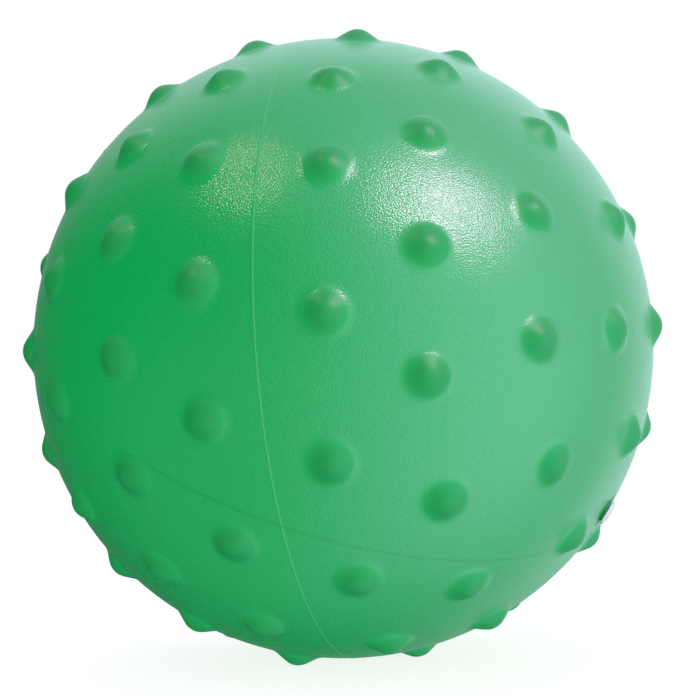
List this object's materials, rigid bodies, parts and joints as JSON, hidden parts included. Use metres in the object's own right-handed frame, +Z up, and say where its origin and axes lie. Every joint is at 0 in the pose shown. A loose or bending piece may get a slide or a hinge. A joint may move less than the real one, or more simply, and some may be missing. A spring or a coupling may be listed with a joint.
{
  "type": "sensory ball",
  "caption": "Soft hollow play ball with rounded nubs all over its skin, a raised parting line and a pull-out plug in an inflation valve.",
  "frame": {"origin": "centre of the ball", "axes": "+Z up as the ball stands on three of its nubs, +X close to the mould axis on the side with the valve, -Y towards the side that the picture shows"},
  "size_m": [0.1858, 0.1819, 0.1817],
  "materials": {
    "skin": "matte soft vinyl with a fine pebble grain",
    "seat": "matte soft vinyl",
    "plug": "cloudy clear vinyl"
  },
  "bodies": {
    "ball": {"ball_skin": "skin", "valve_seat": "seat"},
    "plug": {"valve_plug": "plug"}
  },
  "joints": [
    {"name": "plug_pull", "type": "slide", "parent": "ball", "child": "plug", "axis": [0.8482, -0.0582, -0.5264], "range_m": [0, 0.03]}
  ]
}
